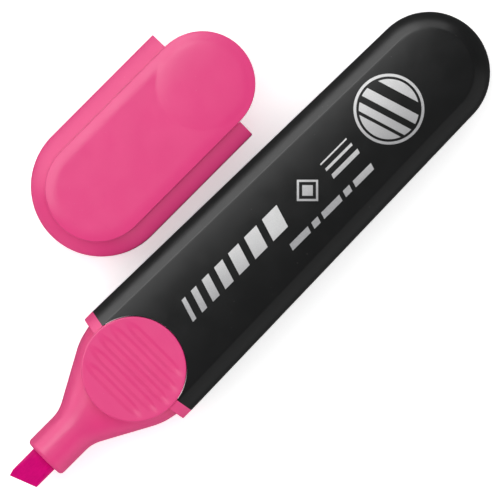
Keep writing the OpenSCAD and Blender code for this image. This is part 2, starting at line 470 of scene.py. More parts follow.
@dataclass(frozen=True)
class InkedFibre:
    """Pressed fibre that runs along X and is soaked with ink."""

    name: str
    colour: Colour
    deep: Colour
    roughness: float = 0.6
    stretch: float = 0.08
    scale: float = 5200.0
    depth: float = 0.35
    specular: float = 0.3
    sheen: float = 0.35

    def build(self, effects: Effects) -> bpy.types.Material:
        """Makes the material.

        Args:
            effects: The shared shader groups.

        Returns:
            The material.
        """
        material, g, bsdf = new_material(self.name)
        place = g.add("TexCoord").outputs["Object"]
        drawn = g.add("Mapping", None, Vector=place, Scale=(self.stretch, 1.0, 1.0))
        strands = g.add("TexNoise", None, Vector=drawn.outputs[0], Scale=self.scale, Detail=4.0, Roughness=0.7)
        grain = effects.use(g, effects.grain, Scale=4200.0, Blotch=420.0)
        lit = g.span(strands.outputs["Fac"], 0.36, 0.66, 0.0, 1.0)
        both = g.math("MULTIPLY_ADD", grain.outputs["Tone"], 0.4, g.math("MULTIPLY", lit, 0.6))
        g.put(bsdf.inputs["Base Color"], g.mix(both, rgba(self.deep), rgba(self.colour)))
        g.put(bsdf.inputs["Roughness"], g.span(lit, 0.0, 1.0, self.roughness + 0.1, self.roughness - 0.05))
        bsdf.inputs["Specular IOR Level"].default_value = self.specular
        bsdf.inputs["Sheen Weight"].default_value = self.sheen
        bsdf.inputs["Sheen Roughness"].default_value = 0.45
        bsdf.inputs["Sheen Tint"].default_value = rgba((1.0, 0.08, 0.45))
        height = g.math("MULTIPLY_ADD", grain.outputs["Height"], 0.5, strands.outputs["Fac"])
        bump = g.add("Bump", None, Strength=self.depth, Distance=0.05 * MM, Height=height)
        g.put(bsdf.inputs["Normal"], bump.outputs[0])
        return material


@dataclass(frozen=True)
class SilverInk:
    """Silver printing ink with fine flakes and a painted highlight: its colour is paler towards the cap's side,
    where the key lamp stands, and greyer away from it.
    """

    name: str
    # Lit and shaded tones of the same silver; the painted highlight runs between them.
    lit_silver: Colour = (0.70, 0.70, 0.70)
    shaded_silver: Colour = (0.40, 0.40, 0.41)
    roughness: float = 0.42
    # How far the painted highlight runs each way from the print's middle.
    reach: float = 6.0 * MM

    def build(self, effects: Effects, centre: Vector) -> bpy.types.Material:
        """Makes the material.

        Args:
            effects: The shared shader groups.
            centre: Middle of the print, where the painted highlight's tone is halfway.

        Returns:
            The material.
        """
        material, g, bsdf = new_material(self.name)
        place = g.add("TexCoord").outputs["Object"]
        # Painted highlight: the base colour turns from the shaded grey to the lit pale silver, mostly towards +Y,
        # the side of the key lamp.
        local = g.add("VectorMath", {"operation": "SUBTRACT"}, i0=place, i1=tuple(centre))
        along = g.add("VectorMath", {"operation": "DOT_PRODUCT"}, i0=local.outputs[0], i1=(0.25, 0.97, 0.0))
        painted_highlight_share = g.span(along.outputs["Value"], -self.reach, self.reach, 0.0, 1.0)
        flakes = g.add("TexVoronoi", None, Vector=place, Scale=14000.0)
        tint = g.mix(painted_highlight_share, rgba(self.shaded_silver), rgba(self.lit_silver))
        glint = g.span(flakes.outputs["Distance"], 0.1, 0.6, 1.0, 0.82)
        shade = g.add("Mix", {"data_type": "RGBA", "blend_type": "MULTIPLY"})
        g.put(shade.inputs["Factor"], 1.0)
        g.put(shade.inputs[6], tint)
        g.put(shade.inputs[7], glint)
        g.put(bsdf.inputs["Base Color"], shade.outputs[2])
        bsdf.inputs["Metallic"].default_value = 0.25
        grain = effects.use(g, effects.grain, Scale=5200.0, Blotch=600.0)
        gloss = g.span(grain.outputs["Sheen"], 0.0, 1.0, self.roughness - 0.06, self.roughness + 0.08)
        g.put(bsdf.inputs["Roughness"], gloss)
        bump = g.add("Bump", None, Strength=0.08, Distance=0.03 * MM, Height=grain.outputs["Height"])
        g.put(bsdf.inputs["Normal"], bump.outputs[0])
        return material


@dataclass(frozen=True)
class ClearFilm:
    """Thin film with fine lengthwise wrinkles."""

    name: str
    colour: Colour = (0.82, 0.78, 0.82)

    def build(self, effects: Effects) -> bpy.types.Material:
        """Makes the material.

        Args:
            effects: The shared shader groups.

        Returns:
            The material.
        """
        material, g, bsdf = new_material(self.name)
        place = g.add("TexCoord").outputs["Object"]
        drawn = g.add("Mapping", None, Vector=place, Scale=(0.1, 1.0, 1.0))
        wrinkle = g.add("TexNoise", None, Vector=drawn.outputs[0], Scale=900.0, Detail=3.0)
        grain = effects.use(g, effects.grain, Scale=3000.0, Blotch=200.0)
        g.put(bsdf.inputs["Base Color"], g.mix(grain.outputs["Tone"], rgba(self.colour), rgba((0.93, 0.9, 0.93))))
        g.put(bsdf.inputs["Roughness"], g.span(wrinkle.outputs["Fac"], 0.3, 0.7, 0.12, 0.3))
        bump = g.add("Bump", None, Strength=0.3, Distance=0.1 * MM, Height=wrinkle.outputs["Fac"])
        g.put(bsdf.inputs["Normal"], bump.outputs[0])
        bsdf.inputs["Alpha"].default_value = 0.55
        return material


class Palette(Enum):
    """The moulded finishes of the object."""

    PINK = MouldedPlastic(
        "pink_plastic", colour=(0.70, 0.047, 0.200), deep=(0.68, 0.044, 0.192), edge=(0.76, 0.09, 0.27),
        roughness=0.34, wear=0.45, specks=0.05,
    )
    BLACK = MouldedPlastic(
        "black_barrel", colour=(0.0048, 0.0050, 0.0052), deep=(0.0044, 0.0046, 0.0047), edge=(0.024, 0.025, 0.027),
        roughness=0.33, roughness_span=0.02, grain_depth=0.06, wear=0.5, specks=0.04,
    )
    MILKY = MouldedPlastic(
        "milky_seal", colour=(0.86, 0.84, 0.80), deep=(0.80, 0.77, 0.73), edge=(0.93, 0.92, 0.9),
        roughness=0.45, wear=0.2, specks=0.03,
    )


# ---------------------------------------------------------------- flat mouldings

def even_rings(first: float, last: float, count: int) -> list[float]:
    """Lists evenly spaced distances, with both ends."""
    return [first + (last - first) * i / (count - 1) for i in range(count)]


def soft_corner(
    before: tuple[float, float], corner: tuple[float, float], after: tuple[float, float],
) -> list[tuple[float, float]]:
    """Lists the points of a rounded corner between two points beside it."""
    points = []
    for share in (0.0, 0.25, 0.5, 0.75, 1.0):
        weights = ((1 - share) ** 2, 2 * share * (1 - share), share ** 2)
        points.append(tuple(sum(w * p[k] for w, p in zip(weights, (before, corner, after))) for k in (0, 1)))
    return points


def soft_line(x: float, level: float, bends: Sequence[tuple[float, float]], soft: float) -> float:
    """Gives the height of a level line that bends at some places, with soft corners.

    Args:
        x: Place along the line.
        level: Its height before the first bend.
        bends: Pairs of place and new slope.
        soft: How far each corner's rounding reaches on either side.

    Returns:
        The height at x.
    """
    height, slope = level, 0.0
    for place, new_slope in bends:
        past = min(max(x - place + soft, 0.0), 2 * soft)
        height += (new_slope - slope) * (past * past / (4 * soft) + max(x - place - soft, 0.0))
        slope = new_slope
    return height


@dataclass
class FlatForm:
    """Outer form shared by the barrel and the cap: flat, crowned, bevelled, open at one end.

    It is built about the origin of its own frame, with the open end at mouth_x and the
    round end towards +X.
    """

    mouth_x: float
    mouth_half: float
    round_x: float
    round_r: float
    half_t: float
    band: float = 3.0 * MM
    band_out: float = math.radians(47)
    band_in: float = math.radians(36)
    band_steps: int = 6
    edge_r: float = 0.35 * MM
    crown_h: float = 0.6 * MM
    crown_power: float = 2.0
    crown_steps: int = 14
    arc_steps: int = 72
    crease_r: float = 0.16 * MM
    over: float = 13.0 * MM
    lag: float = 0.5 * MM

    def slope(self) -> float:
        """Gives the taper of one side, as width lost for each unit of length."""
        return (self.mouth_half - self.round_r) / (self.round_x - self.mouth_x)

    def crown(self, depth: float) -> float:
        """Gives the face's height at a distance inside the outline.

        Args:
            depth: Distance from the outline, at least the band's width.

        Returns:
            Height above the middle plane.
        """
        share = min(max((depth - self.band) / (self.round_r - self.band), 0.0), 1.0)
        return self.half_t - self.crown_h * (1 - share) ** self.crown_power

    def mouth_lag(self, y: float) -> float:
        """Gives how far the mouth's line has run back at a distance from the middle."""
        inner = self.mouth_half - self.band
        return self.lag * min(max((abs(y) - inner) / self.band, 0.0), 1.0)

    def half_width(self, x: float) -> float:
        """Gives half of the width at a place on the straight stretch."""
        return self.mouth_half - self.slope() * (x - self.mouth_x)

    def face_height(self, x: float, y: float) -> float:
        """Gives the face's height at a point on its straight stretch."""
        return self.crown(self.half_width(x) - abs(y))

    def rings(self) -> list[tuple[float, float]]:
        """Lists the rings from the side to the middle of the face.

        Returns:
            Pairs of distance inside the outline and height.
        """
        side = self.side_half()
        foot = self.band_out - (self.band_out - self.band_in) * self.edge_r / self.band
        head = self.band_in + (self.band_out - self.band_in) * self.crease_r / self.band
        after = (self.band + self.crease_r, self.crown(self.band + self.crease_r))
        rings = soft_corner((0.0, side - self.edge_r), (0.0, side), self.band_point(foot))
        for i in range(1, self.band_steps):
            rings.append(self.band_point(foot + (head - foot) * i / self.band_steps))
        rings += soft_corner(self.band_point(head), (self.band, self.crown(self.band)), after)
        for inside in even_rings(self.band, self.round_r, self.crown_steps)[1:]:
            rings.append((inside, self.crown(inside)))
        return rings

    def side_half(self) -> float:
        """Gives half of the upright side's height."""
        rise = math.cos(self.band_in) - math.cos(self.band_out)
        return self.crown(self.band) - self.band * rise / (math.sin(self.band_out) - math.sin(self.band_in))

    def band_point(self, slope: float) -> tuple[float, float]:
        """Gives the point of the bevelled band that has a given slope.

        Args:
            slope: Angle from the level, between band_in and band_out.

        Returns:
            Distance inside the outline and height.
        """
        radius = self.band / (math.sin(self.band_out) - math.sin(self.band_in))
        inside = radius * (math.sin(self.band_out) - math.sin(slope))
        return inside, self.side_half() + radius * (math.cos(slope) - math.cos(self.band_out))

    def outline(self, bm: bmesh.types.BMesh) -> list[bmesh.types.BMEdge]:
        """Makes the outline seen from above, with its open end run on past the mouth.

        Args:
            bm: The mesh that it goes into.

        Returns:
            The outline's edges.
        """
        first = bm.verts.new((self.round_x, -self.round_r, 0))
        bmesh.ops.spin(
            bm, geom=[first], cent=(self.round_x, 0, 0), axis=(0, 0, 1), dvec=(0, 0, 0),
            angle=math.pi, steps=self.arc_steps,
        )
        last = max(bm.verts, key=lambda v: v.co.y)
        far_x = self.mouth_x - self.over
        far_half = self.half_width(far_x)
        low, high = bm.verts.new((far_x, -far_half, 0)), bm.verts.new((far_x, far_half, 0))
        for pair in ((first, low), (low, high), (high, last)):
            bm.edges.new(pair)
        return bm.edges[:]

    def move_inside(self, vert: bmesh.types.BMVert, inside: float, z: float) -> None:
        """Moves a vertex of the outline inwards and sets its height."""
        away = Vector((vert.co.x - self.round_x, vert.co.y))
        if away.x > -TOUCH:
            away = away.normalized() * (self.round_r - inside)
            vert.co = (self.round_x + away.x, away.y, z)
        else:
            y = math.copysign(self.half_width(vert.co.x) - inside, vert.co.y)
            vert.co = (vert.co.x, y, z)

    def whole(self) -> bmesh.types.BMesh:
        """Builds the closed form, still running on past the mouth.

        Returns:
            The form.
        """
        bm = bmesh.new()
        ring = self.outline(bm)
        for inside, height in self.rings():
            grown = bmesh.ops.extrude_edge_only(bm, edges=ring)["geom"]
            ring = [g for g in grown if isinstance(g, bmesh.types.BMEdge) and g.is_boundary]
            for vert in ends_of(ring):
                self.move_inside(vert, inside, height)
        bmesh.ops.remove_doubles(bm, verts=bm.verts[:], dist=TOUCH)
        top = [e for e in bm.edges if e.is_boundary and e.verts[0].co.z > self.side_half()]
        bmesh.ops.edgeloop_fill(bm, edges=top)
        bmesh.ops.mirror(bm, geom=everything(bm), matrix=Matrix.Identity(4), merge_dist=1e-6, axis="Z")
        bmesh.ops.remove_doubles(bm, verts=bm.verts[:], dist=TOUCH)
        bmesh.ops.recalc_face_normals(bm, faces=bm.faces[:])
        return bm

    def slice(self, start: float, end: float) -> bmesh.types.BMesh:
        """Builds a closed slice of the form between two planes across it.

        Args:
            start: Place of the first plane along X.
            end: Place of the second plane.

        Returns:
            The slice.
        """
        bm = self.whole()
        cut_away(bm, (start, 0, 0), (-1, 0, 0), close=True)
        cut_away(bm, (end, 0, 0), (1, 0, 0), close=True)
        bmesh.ops.recalc_face_normals(bm, faces=bm.faces[:])
        return bm

    def shell(self, wall: float, lip_r: float) -> bmesh.types.BMesh:
        """Builds the hollow moulding, open at its mouth.

        Args:
            wall: Thickness of the wall.
            lip_r: Rounding of the mouth's edges.

        Returns:
            The moulding as one closed surface.
        """
        bm = self.whole()
        cut_away(bm, (self.mouth_x, 0, 0), (-1, 0, 0), close=False)
        inner_form = replace(
            self, mouth_half=self.mouth_half - wall, round_r=self.round_r - wall, half_t=self.half_t - wall,
        )
        inner = inner_form.whole()
        cut_away(inner, (self.mouth_x, 0, 0), (-1, 0, 0), close=False)
        bmesh.ops.reverse_faces(inner, faces=inner.faces[:])
        add_mesh(bm, inner)
        rims = [e for e in bm.edges if e.is_boundary]
        bmesh.ops.bridge_loops(bm, edges=rims)
        bmesh.ops.recalc_face_normals(bm, faces=bm.faces[:])
        if lip_r > 0:
            lips = edges_where(bm, lambda co: abs(co.x - self.mouth_x) < TOUCH)
            lips = [e for e in lips if abs(e.calc_face_angle(0.0)) > 0.5]
            round_off(bm, lips, lip_r, 2)
        return bm


def half_turn(bm: bmesh.types.BMesh, x: float) -> None:
    """Turns a mesh half round about the upright line at x."""
    bmesh.ops.rotate(bm, cent=(x, 0, 0), matrix=Matrix.Rotation(math.pi, 3, "Z"), verts=bm.verts[:])


def cylinder(
    radius: float, low: float, high: float, centre: tuple[float, float], steps: int = 128,
) -> bmesh.types.BMesh:
    """Makes an upright closed cylinder.

    Args:
        radius: Its radius.
        low: Height of its foot.
        high: Height of its top.
        centre: Its place in plan.
        steps: Faces round it.

    Returns:
        The cylinder.
    """
    bm = bmesh.new()
    bmesh.ops.create_circle(bm, cap_ends=True, segments=steps, radius=radius)
    grown = bmesh.ops.extrude_face_region(bm, geom=bm.faces[:])["geom"]
    for vert in bm.verts:
        vert.co.z = low
    for vert in (g for g in grown if isinstance(g, bmesh.types.BMVert)):
        vert.co.z = high
    if not any(all(abs(v.co.z - low) < TOUCH for v in f.verts) for f in bm.faces):
        bmesh.ops.edgeloop_fill(bm, edges=[e for e in bm.edges if e.is_boundary])
    bmesh.ops.translate(bm, vec=(*centre, 0), verts=bm.verts[:])
    bmesh.ops.recalc_face_normals(bm, faces=bm.faces[:])
    return bm


def ringed_plate(
    start: float, end: float, radius: float, foot: float, rings: Sequence[float],
    height: Callable[[float, float, float], float], around: int = 128, cuts: int = 0,
) -> bmesh.types.BMesh:
    """Makes a plate with round ends whose top is shaped by a height for each point.

    Args:
        start: Where the plate begins along X.
        end: Where it ends.
        radius: Radius of its ends, half of its width.
        foot: Height of its flat underside.
        rings: Distances inside the outline, growing, at which the top has vertices.
        height: Gives the top's height from x, y and the distance inside the outline.
        around: Faces round the two ends together.
        cuts: Vertices added along each straight side.

    Returns:
        The closed plate.
    """
    low, high = start + radius, end - radius
    bm = bmesh.new()
    bmesh.ops.create_circle(bm, cap_ends=False, segments=around, radius=radius)
    for vert in bm.verts:
        vert.co += Vector((high if vert.co.x > 0 else low, 0, foot))
    if cuts:
        sides = [e for e in bm.edges if e.calc_length() > (high - low) / 2]
        bmesh.ops.subdivide_edges(bm, edges=sides, cuts=cuts)
    ring = bm.edges[:]
    bmesh.ops.edgeloop_fill(bm, edges=ring)
    for inside in (0.0, *rings):
        grown = bmesh.ops.extrude_edge_only(bm, edges=ring)["geom"]
        ring = [g for g in grown if isinstance(g, bmesh.types.BMEdge) and g.is_boundary]
        for vert in ends_of(ring):
            centre = min(max(vert.co.x, low), high)
            away = Vector((vert.co.x - centre, vert.co.y))
            away = away.normalized() * (radius - inside)
            vert.co = (centre + away.x, away.y, 0.0)
            vert.co.z = height(vert.co.x, vert.co.y, inside)
    bmesh.ops.remove_doubles(bm, verts=bm.verts[:], dist=TOUCH)
    bmesh.ops.recalc_face_normals(bm, faces=bm.faces[:])
    return bm


# ---------------------------------------------------------------- the pen

@dataclass
class Barrel:
    """The black barrel with the notches for the grip pads."""

    place: Place
    rear_r: float = 10.9 * MM
    wall: float = 1.4 * MM
    pad_gap: float = 0.12 * MM
    form: FlatForm = field(init=False)

    def __post_init__(self) -> None:
        """Works out the form from the frame."""
        p = self.place
        self.form = FlatForm(
            mouth_x=p.mouth_x - p.tip_x, mouth_half=p.mouth_half,
            round_x=p.rear_x - p.tip_x - self.rear_r, round_r=self.rear_r, half_t=p.half_t,
            band_out=math.radians(66), band_in=math.radians(30),
        )

    def build(self, material: bpy.types.Material, pad_x: float, pad_r: float) -> bpy.types.Object:
        """Builds the shell with the round notches that the grip pads sit in.

        Args:
            material: Its finish.
            pad_x: Middle of the grip pads, from the tip.
            pad_r: Radius of the grip pads.

        Returns:
            The piece.
        """
        bm = self.form.shell(self.wall, 0.0)
        for vert in bm.verts:
            if abs(vert.co.x - self.form.mouth_x) < TOUCH:
                vert.co.x += self.form.mouth_lag(vert.co.y)
        obj = make_object("barrel_shell", bm, self.place.pen())
        notch = cylinder(pad_r + self.pad_gap, -2 * self.form.half_t, 2 * self.form.half_t, (pad_x, 0))
        carve(obj, notch, self.place.pen())
        return finish_piece(obj, "pen", material, ["barrel"])


@dataclass
class FrontSection:
    """The pink moulding in front: nose tube, shoulder, collar and two grip pads."""

    place: Place
    form: FlatForm
    nose_r: float = 4.2 * MM
    nose_round: float = 0.75 * MM
    slot_w: float = 2.68 * MM
    slot_t: float = 2.08 * MM
    flare_x: float = 12.8 * MM
    shoulder_x: float = 14.5 * MM
    bend_x: float = 26.0 * MM
    flare: float = 0.548
    bend_flare: float = 0.22
    rise: float = 0.215
    bend_rise: float = 0.11
    fillet: float = 1.6 * MM
    flare_steps: int = 34
    collar_l: float = 2.1 * MM
    shoulder_w: float = 11.3 * MM
    pad_x: float = 29.45 * MM
    pad_r: float = 9.45 * MM
    pad_rim: float = 0.28 * MM
    pad_foot: float = 4.6 * MM
    pad_margin: float = 1.6 * MM
    groove_count: int = 5
    groove_w: float = 1.42 * MM
    groove_pitch: float = 2.58 * MM
    groove_h: float = 0.3 * MM
    groove_draft: float = 0.38 * MM
    groove_taper: float = 0.3
    pad_rings: int = 64
    around: int = 96

    def station(self, w: float, t: float, squareness: float) -> list[tuple[float, float]]:
        """Gives one ring of the loft as points (y, z).

        Args:
            w: Half of its width.
            t: Half of its thickness.
            squareness: 2 for an ellipse, more for a squarer ring.

        Returns:
            The ring's points.
        """
        points = []
        for i in range(self.around):
            turn = math.tau * i / self.around
            c, s = math.cos(turn), math.sin(turn)
            power = 2 / squareness
            points.append((w * math.copysign(abs(c) ** power, c), t * math.copysign(abs(s) ** power, s)))
        return points

    def stations(self) -> list[tuple[float, float, float, float]]:
        """Lists the loft's rings, from inside the nib's slot to the collar.

        Returns:
            Tuples of place, half width, half thickness and squareness.
        """
        p = self.place
        front = p.nose_x - p.tip_x
        r, soft = self.nose_r, self.nose_round
        rings = [
            (front + 3 * MM, self.slot_w, self.slot_t, 3.6),
            (front + 0.2 * MM, self.slot_w, self.slot_t, 3.6),
            (front, self.slot_w + 0.2 * MM, self.slot_t + 0.2 * MM, 3.4),
            (front, r - soft, r - soft, 2.0),
        ]
        for i in range(1, 7):
            turn = math.pi / 2 * i / 6
            ring_r = r - soft + soft * math.sin(turn)
            rings.append((front + soft * (1 - math.cos(turn)), ring_r, ring_r, 2.0))
        for share in (0.35, 0.7, 0.9):
            rings.append((front + soft + (self.flare_x - front - soft) * share, r, r, 2.0))
        collar_x = self.form.mouth_x - self.collar_l
        for x in even_rings(self.flare_x, collar_x + 0.3 * MM, self.flare_steps):
            wide = soft_line(x, r, ((self.shoulder_x, self.flare), (self.bend_x, self.bend_flare)), self.fillet)
            deep = soft_line(x, r, ((self.shoulder_x, self.rise), (self.bend_x, self.bend_rise)), self.fillet)
            share = (wide - r) / (self.shoulder_w - r)
            rings.append((x, wide, deep, 2.0 + 0.8 * min(max(share, 0.0), 1.0)))
        return rings

    def loft(self) -> bmesh.types.BMesh:
        """Builds the nose tube and the shoulder as one skin.

        Returns:
            The skin, closed at both ends.
        """
        bm = bmesh.new()
        last: list[bmesh.types.BMEdge] = []
        for x, w, t, squareness in self.stations():
            made = bmesh.ops.create_circle(bm, segments=self.around, radius=self.nose_r)["verts"]
            for vert, (y, z) in zip(made, self.station(w, t, squareness)):
                vert.co = (x, y, z)
            ring = loop_edges(made)
            if last:
                bmesh.ops.bridge_loops(bm, edges=last + ring)
            last = ring
        bmesh.ops.edgeloop_fill(bm, edges=last)
        first = [e for e in bm.edges if e.is_boundary]
        bmesh.ops.edgeloop_fill(bm, edges=first)
        bmesh.ops.recalc_face_normals(bm, faces=bm.faces[:])
        return bm

    def collar(self) -> bmesh.types.BMesh:
        """Builds the collar that stands out to the barrel's outline.

        Returns:
            The collar.
        """
        end = self.form.mouth_x
        start = end - self.collar_l
        bm = self.form.slice(start, end)
        for vert in bm.verts:
            vert.co.y *= 1 - self.form.slope() * (end - vert.co.x) / self.form.mouth_half
            if abs(vert.co.y) < self.pad_r - 0.5 * MM:
                low = self.form.half_t - self.form.crown_h - 0.1 * MM
                vert.co.z = min(max(vert.co.z, -low), low)
        front = edges_where(bm, lambda co: abs(co.x - start) < TOUCH)
        round_off(bm, front, 0.18 * MM, 3)
        for vert in bm.verts:
            vert.co.x += self.form.mouth_lag(vert.co.y)
        return bm

    def relief(self, x: float, y: float) -> float:
        """Gives how deep a pad's grooves are at a point.

        Args:
            x: Distance from the pad's middle along the pen.
            y: Distance across the pen.

        Returns:
            Depth below the pad's face.
        """
        nearest = round(x / self.groove_pitch)
        if abs(nearest) > (self.groove_count - 1) // 2:
            return 0.0
        offset = nearest * self.groove_pitch
        reach = math.sqrt((self.pad_r - self.pad_margin) ** 2 - offset ** 2) - self.groove_w / 2
        away = math.hypot(x - offset, self.groove_taper * max(abs(y) - reach + self.groove_w, 0.0))
        share = min(max((self.groove_w / 2 + self.groove_draft - away) / (2 * self.groove_draft), 0.0), 1.0)
        return self.groove_h * share * share * (3 - 2 * share)

    def pad(self, side: int) -> bmesh.types.BMesh:
        """Builds a round grip pad with a rounded rim and soft grooves.

        Args:
            side: 1 for the front face, -1 for the back.

        Returns:
            The pad.
        """
        top, rim, reach = self.form.half_t, self.pad_rim, self.pad_r

        def height(x: float, y: float, inside: float) -> float:
            if inside < rim:
                return top - rim + math.sqrt(rim ** 2 - (rim - inside) ** 2)
            return top - self.relief(x, y)

        soft = [rim * (1 - math.cos(math.pi / 2 * i / 5)) for i in range(1, 5)]
        rings = soft + even_rings(rim * 1.2, reach - 0.25 * MM, self.pad_rings)
        bm = ringed_plate(-reach, reach, reach, self.pad_foot, [*rings, reach], height, around=240)
        bmesh.ops.translate(bm, vec=(self.pad_x, 0, 0), verts=bm.verts[:])
        if side < 0:
            bmesh.ops.scale(bm, vec=(1, 1, -1), verts=bm.verts[:])
            bmesh.ops.reverse_faces(bm, faces=bm.faces[:])
        return bm

    def build(self, material: bpy.types.Material) -> list[bpy.types.Object]:
        """Builds the section's pieces.

        Args:
            material: Their finish.

        Returns:
            The body of the section and its pads.
        """
        move = self.place.pen()
        bm = self.loft()
        add_mesh(bm, self.collar())
        body = make_object("front_section_body", bm, move)
        body = finish_piece(body, "pen", material, ["front_section"], crease=38)
        pads = []
        for side, name in ((1, "grip_pad_front"), (-1, "grip_pad_back")):
            pad = make_object(name, self.pad(side), move)
            pads.append(finish_piece(pad, "pen", material, crease=50, weighted=False))
        return [body, *pads]


@dataclass
class Nib:
    """The chisel nib: a flat felt bar, sharpened from both faces and cut off aslant."""

    place: Place
    width: float = 5.3 * MM
    thick: float = 4.0 * MM
    length: float = 14.0 * MM
    corner_r: float = 1.65 * MM
    edge_t: float = 1.1 * MM
    wedge_l: float = 5.8 * MM
    slant: float = 1.95 * MM
    corner_l: float = 1.3 * MM
    corner_w: float = 0.34 * MM

    def build(self, material: bpy.types.Material) -> bpy.types.Object:
        """Builds the nib as far as it can be seen, and a little further in.

        Args:
            material: Its finish.

        Returns:
            The piece.
        """
        bm = bmesh.new()
        bmesh.ops.create_cube(bm, size=1)
        bmesh.ops.scale(bm, vec=(self.length, self.width, self.thick), verts=bm.verts[:])
        bmesh.ops.translate(bm, vec=(self.length / 2, 0, 0), verts=bm.verts[:])
        along = [e for e in bm.edges if abs(e.verts[0].co.x - e.verts[1].co.x) > self.length / 2]
        round_off(bm, along, self.corner_r, 9)
        rise = math.atan2((self.thick - self.edge_t) / 2, self.wedge_l)
        for side in (1, -1):
            cut_away(bm, (0, 0, side * self.edge_t / 2), (-math.sin(rise), 0, side * math.cos(rise)), close=True)
        tip = (0, self.width / 2 - self.corner_w, 0)
        turn = math.atan2(self.slant, self.width - self.corner_w)
        cut_away(bm, tip, (-math.cos(turn), -math.sin(turn), 0), close=True)
        turn = math.atan2(self.corner_w, self.corner_l)
        cut_away(bm, tip, (-math.sin(turn), math.cos(turn), 0), close=True)
        ridge = [e for e in bm.edges if e.calc_face_angle(0.0) > math.radians(20) and e.verts[0].co.x < 9 * MM]
        round_off(bm, ridge, 0.09 * MM, 2)
        bmesh.ops.recalc_face_normals(bm, faces=bm.faces[:])
        obj = make_object("nib_felt", bm, self.place.pen())
        return finish_piece(obj, "pen", material, ["nib"], crease=30)


@dataclass
class Print:
    """Silver print on the barrel's front face: plain bars and a round badge."""

    place: Place
    form: FlatForm
    lift: float = 0.012 * MM
    film: float = 0.03 * MM
    slice_step: float = 0.45 * MM

    def lay(self, name: str, bm: bmesh.types.BMesh, material: bpy.types.Material) -> bpy.types.Object:
        """Lays a flat shape on the crowned face and gives it the ink's thickness.

        Args:
            name: Name of the piece.
            bm: The flat shape, from the tip's frame.
            material: Its ink.

        Returns:
            The piece.
        """
        low = min(v.co.y for v in bm.verts)
        high = max(v.co.y for v in bm.verts)
        steps = max(1, int((high - low) / self.slice_step))
        for i in range(1, steps):
            cut = (0, low + (high - low) * i / steps, 0)
            bmesh.ops.bisect_plane(bm, geom=everything(bm), dist=TOUCH, plane_co=cut, plane_no=(0, 1, 0))
        for vert in bm.verts:
            vert.co.z = self.form.face_height(vert.co.x, vert.co.y) + self.lift + self.film
        for face in bm.faces:
            if face.normal.z < 0:
                face.normal_flip()
        grown = bmesh.ops.extrude_face_region(bm, geom=bm.faces[:], use_keep_orig=True)["geom"]
        for vert in (g for g in grown if isinstance(g, bmesh.types.BMVert)):
            vert.co.z -= self.film + 2 * self.lift
        bmesh.ops.recalc_face_normals(bm, faces=bm.faces[:])
        obj = make_object(name, bm, self.place.pen())
        return finish_piece(obj, "pen", material, crease=40, weighted=False)

    def bar(self, bm: bmesh.types.BMesh, x: float, y: float, length: float, height: float, lean: float) -> None:
        """Adds a bar whose ends lean like the stroke of a chisel nib.

        Args:
            bm: The mesh that it goes into.
            x: Its middle along the pen.
            y: Its middle across the pen.
            length: Its length.
            height: Its height.
            lean: How far its top end is moved along.
        """
        made = bmesh.ops.create_grid(bm, x_segments=1, y_segments=1, size=0.5)["verts"]
        for vert in made:
            vert.co = (x + vert.co.x * length + vert.co.y * lean, y + vert.co.y * height, 0)

    def strokes(self) -> bmesh.types.BMesh:
        """Builds the main row: leaning bars that grow from thin to broad."""
        bm = bmesh.new()
        x, widths = 43.6 * MM, (0.9, 1.3, 1.7, 2.1, 2.6, 3.1, 3.7)
        for width in widths:
            self.bar(bm, x + width * MM / 2, 0.55 * MM, width * MM, 4.2 * MM, 1.3 * MM)
            x += (width + 1.45) * MM
        return bm

    def small_line(self) -> bmesh.types.BMesh:
        """Builds the thin second line."""
        bm = bmesh.new()
        x = 64.8 * MM
        for length in (4.6, 1.6, 4.6, 1.6, 4.6):
            self.bar(bm, x + length * MM / 2, -4.6 * MM, length * MM, 1.2 * MM, 0.37 * MM)
            x += (length + 0.9) * MM
        return bm

    def frame_of(self, sides: int, outer: float, inner: float) -> bmesh.types.BMesh:
        """Builds a flat ring with the given number of sides."""
        bm = bmesh.new()
        bmesh.ops.create_circle(bm, cap_ends=False, segments=sides, radius=outer)
        grown = bmesh.ops.extrude_edge_only(bm, edges=bm.edges[:])["geom"]
        inside = [g for g in grown if isinstance(g, bmesh.types.BMVert)]
        bmesh.ops.scale(bm, vec=(inner / outer, inner / outer, 1), verts=inside)
        return bm

    def badge(self) -> bmesh.types.BMesh:
        """Builds the round badge: a ring round a disc with three slots of growing width."""
        bm = self.frame_of(120, 6.35 * MM, 5.85 * MM)
        disc = bmesh.new()
        bmesh.ops.create_circle(disc, cap_ends=True, segments=120, radius=5.4 * MM)
        lean = Vector((math.cos(math.radians(17)), math.sin(math.radians(17)), 0))
        for middle, width in ((-3.1 * MM, 0.6 * MM), (-0.75 * MM, 1.2 * MM), (2.55 * MM, 2.0 * MM)):
            for edge in (middle - width / 2, middle + width / 2):
                cut = lean * edge
                bmesh.ops.bisect_plane(disc, geom=everything(disc), dist=TOUCH, plane_co=cut, plane_no=lean)
            slot = [f for f in disc.faces if abs(f.calc_center_median().dot(lean) - middle) < width / 2]
            bmesh.ops.delete(disc, geom=slot, context="FACES")
        add_mesh(bm, disc)
        bmesh.ops.translate(bm, vec=(94.7 * MM, 0.5 * MM, 0), verts=bm.verts[:])
        return bm

    def emblem(self) -> bmesh.types.BMesh:
        """Builds a small lozenge inside a lozenge frame, and three rules beside it."""
        bm = self.frame_of(4, 2.7 * MM, 2.15 * MM)
        core = bmesh.new()
        bmesh.ops.create_circle(core, cap_ends=True, segments=4, radius=1.35 * MM)
        add_mesh(bm, core)
        bmesh.ops.translate(bm, vec=(74.1 * MM, 0.55 * MM, 0), verts=bm.verts[:])
        for y, height in ((2.15, 0.28), (0.8, 0.5), (-0.9, 0.85)):
            self.bar(bm, 82.3 * MM, y * MM, 6.6 * MM, height * MM, height * 0.32 * MM)
        return bm

